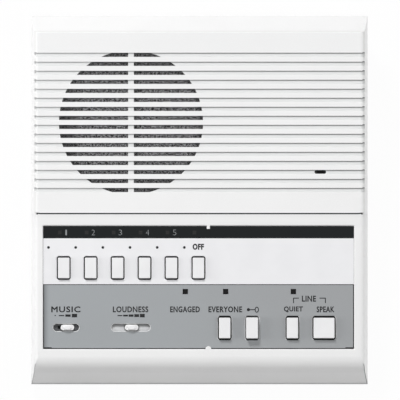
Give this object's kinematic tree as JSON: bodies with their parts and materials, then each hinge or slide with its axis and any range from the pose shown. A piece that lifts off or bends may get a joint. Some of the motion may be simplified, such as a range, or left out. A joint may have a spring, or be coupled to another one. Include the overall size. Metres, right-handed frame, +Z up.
{
  "type": "desk intercom",
  "caption": "Low wedge-shaped desk intercom with louvred speaker grille, station keys, sliders and a wide talk key.",
  "frame": {"origin": "on the desk, under the middle of the overall box", "axes": "+Z up, +Y away from the user, +X to the user's right"},
  "size_m": [0.21, 0.2285, 0.0606],
  "materials": {
    "white_abs": "fine satin moulding",
    "base_abs": "fine satin moulding",
    "chassis_abs": "fine satin moulding",
    "grey_panel": "painted matt grey",
    "smoked_acrylic": "glossy smoked window",
    "key_plastic": "satin key caps",
    "dark_plastic": "dark moulded body",
    "lamp_lens": "diffused red lamp",
    "steel": "zinc plated",
    "spring_steel": "bright wire",
    "black_steel": "black coated sheet",
    "ferrite": "sintered dark ferrite",
    "cone_paper": "black pulp",
    "treated_cloth": "impregnated woven cloth",
    "grille_cloth": "dark woven dust cloth",
    "copper_coil": "enamelled copper winding",
    "gasket_card": "pressed ring",
    "circuit_board": "phenolic laminate",
    "aluminium": "mill finish",
    "capacitor_sleeve": "shrunk sleeve",
    "wire_pvc": "soft insulated wire",
    "fibre_board": "brown fibre",
    "rubber": "soft matt rubber",
    "block_plastic": "moulded terminal body",
    "brass": "plated brass"
  },
  "bodies": {
    "housing": {"amplifier_chip": "dark_plastic", "base_cover": "base_abs", "board_screws": "steel", "capacitors": "capacitor_sleeve", "chassis_screws": "steel", "control_chassis": "chassis_abs", "control_panel": "grey_panel", "front_cover": "white_abs", "function_key_springs": "spring_steel", "function_switches": "dark_plastic", "heat_sink": "aluminium", "housing_screws": "steel", "indicator_strip": "smoked_acrylic", "key_board": "circuit_board", "latch_spring": "spring_steel", "line_leads": "wire_pvc", "link_cable": "wire_pvc", "main_board": "circuit_board", "microphone": "aluminium", "microphone_boot": "rubber", "microphone_leads": "wire_pvc", "music_slide_switch": "dark_plastic", "rubber_feet": "rubber", "speaker_clips": "steel", "speaker_cloth": "grille_cloth", "speaker_frame": "black_steel", "speaker_gasket": "gasket_card", "speaker_leads": "wire_pvc", "speaker_magnet": "ferrite", "speaker_screws": "steel", "speaker_spider": "treated_cloth", "speaker_surround": "treated_cloth", "speaker_terminals": "fibre_board", "speaker_top_plate": "steel", "speaker_yoke": "steel", "station_key_springs": "spring_steel", "station_leds": "lamp_lens", "station_plate": "white_abs", "station_switch_bank": "dark_plastic", "status_leds": "lamp_lens", "status_lenses": "smoked_acrylic", "terminal_block": "block_plastic", "terminal_screws": "brass", "voice_slide_control": "dark_plastic"},
    "station_key_1": {"station_key_1": "key_plastic"},
    "station_key_2": {"station_key_2": "key_plastic"},
    "station_key_3": {"station_key_3": "key_plastic"},
    "station_key_4": {"station_key_4": "key_plastic"},
    "station_key_5": {"station_key_5": "key_plastic"},
    "off_key": {"off_key": "key_plastic"},
    "all_call_key": {"all_call_key": "key_plastic"},
    "lock_key": {"lock_key": "key_plastic"},
    "private_key": {"private_key": "key_plastic"},
    "talk_key": {"talk_key": "key_plastic"},
    "music_slider": {"music_slider_knob": "key_plastic"},
    "voice_slider": {"voice_slider_knob": "key_plastic"},
    "latch": {"latch_bar": "steel"},
    "speaker_diaphragm": {"speaker_cone": "cone_paper", "speaker_coil": "copper_coil", "speaker_dust_cap": "cone_paper"}
  },
  "joints": [
    {"name": "station_key_1_press", "type": "slide", "parent": "housing", "child": "station_key_1", "axis": [0, 0.1219, -0.9925], "range_m": [0, 0.003], "stiffness_N_per_m": 200, "springref_m": -0.003, "deforming": ["station_key_springs"]},
    {"name": "station_key_2_press", "type": "slide", "parent": "housing", "child": "station_key_2", "axis": [0, 0.1219, -0.9925], "range_m": [0, 0.003], "stiffness_N_per_m": 200, "springref_m": -0.003, "deforming": ["station_key_springs"]},
    {"name": "station_key_3_press", "type": "slide", "parent": "housing", "child": "station_key_3", "axis": [0, 0.1219, -0.9925], "range_m": [0, 0.003], "stiffness_N_per_m": 200, "springref_m": -0.003, "deforming": ["station_key_springs"]},
    {"name": "station_key_4_press", "type": "slide", "parent": "housing", "child": "station_key_4", "axis": [0, 0.1219, -0.9925], "range_m": [0, 0.003], "stiffness_N_per_m": 200, "springref_m": -0.003, "deforming": ["station_key_springs"]},
    {"name": "station_key_5_press", "type": "slide", "parent": "housing", "child": "station_key_5", "axis": [0, 0.1219, -0.9925], "range_m": [0, 0.003], "stiffness_N_per_m": 200, "springref_m": -0.003, "deforming": ["station_key_springs"]},
    {"name": "off_key_press", "type": "slide", "parent": "housing", "child": "off_key", "axis": [0, 0.1219, -0.9925], "range_m": [0, 0.003], "stiffness_N_per_m": 200, "springref_m": -0.003, "deforming": ["station_key_springs"]},
    {"name": "all_call_key_press", "type": "slide", "parent": "housing", "child": "all_call_key", "axis": [0, 0.1219, -0.9925], "range_m": [0, 0.003], "stiffness_N_per_m": 200, "springref_m": -0.003, "deforming": ["function_key_springs"]},
    {"name": "lock_key_press", "type": "slide", "parent": "housing", "child": "lock_key", "axis": [0, 0.1219, -0.9925], "range_m": [0, 0.003], "stiffness_N_per_m": 200, "springref_m": -0.003, "deforming": ["function_key_springs"]},
    {"name": "private_key_press", "type": "slide", "parent": "housing", "child": "private_key", "axis": [0, 0.1219, -0.9925], "range_m": [0, 0.003], "stiffness_N_per_m": 200, "springref_m": -0.003, "deforming": ["function_key_springs"]},
    {"name": "talk_key_press", "type": "slide", "parent": "housing", "child": "talk_key", "axis": [0, 0.1219, -0.9925], "range_m": [0, 0.003], "stiffness_N_per_m": 200, "springref_m": -0.003, "deforming": ["function_key_springs"]},
    {"name": "music_slider_slide", "type": "slide", "parent": "housing", "child": "music_slider", "axis": [1, 0, 0], "range_m": [-0.00445, 0.00285]},
    {"name": "voice_slider_slide", "type": "slide", "parent": "housing", "child": "voice_slider", "axis": [1, 0, 0], "range_m": [-0.00825, 0.00725]},
    {"name": "latch_bar_slide", "type": "slide", "parent": "housing", "child": "latch", "axis": [1, 0, 0], "range_m": [0, 0.001], "stiffness_N_per_m": 100, "springref_m": -0.001, "deforming": ["latch_spring"]},
    {"name": "speaker_cone_travel", "type": "slide", "parent": "housing", "child": "speaker_diaphragm", "axis": [0, -0.1219, 0.9925], "range_m": [-0.0005, 0.0005], "stiffness_N_per_m": 4000, "deforming": ["speaker_surround", "speaker_spider"]}
  ]
}
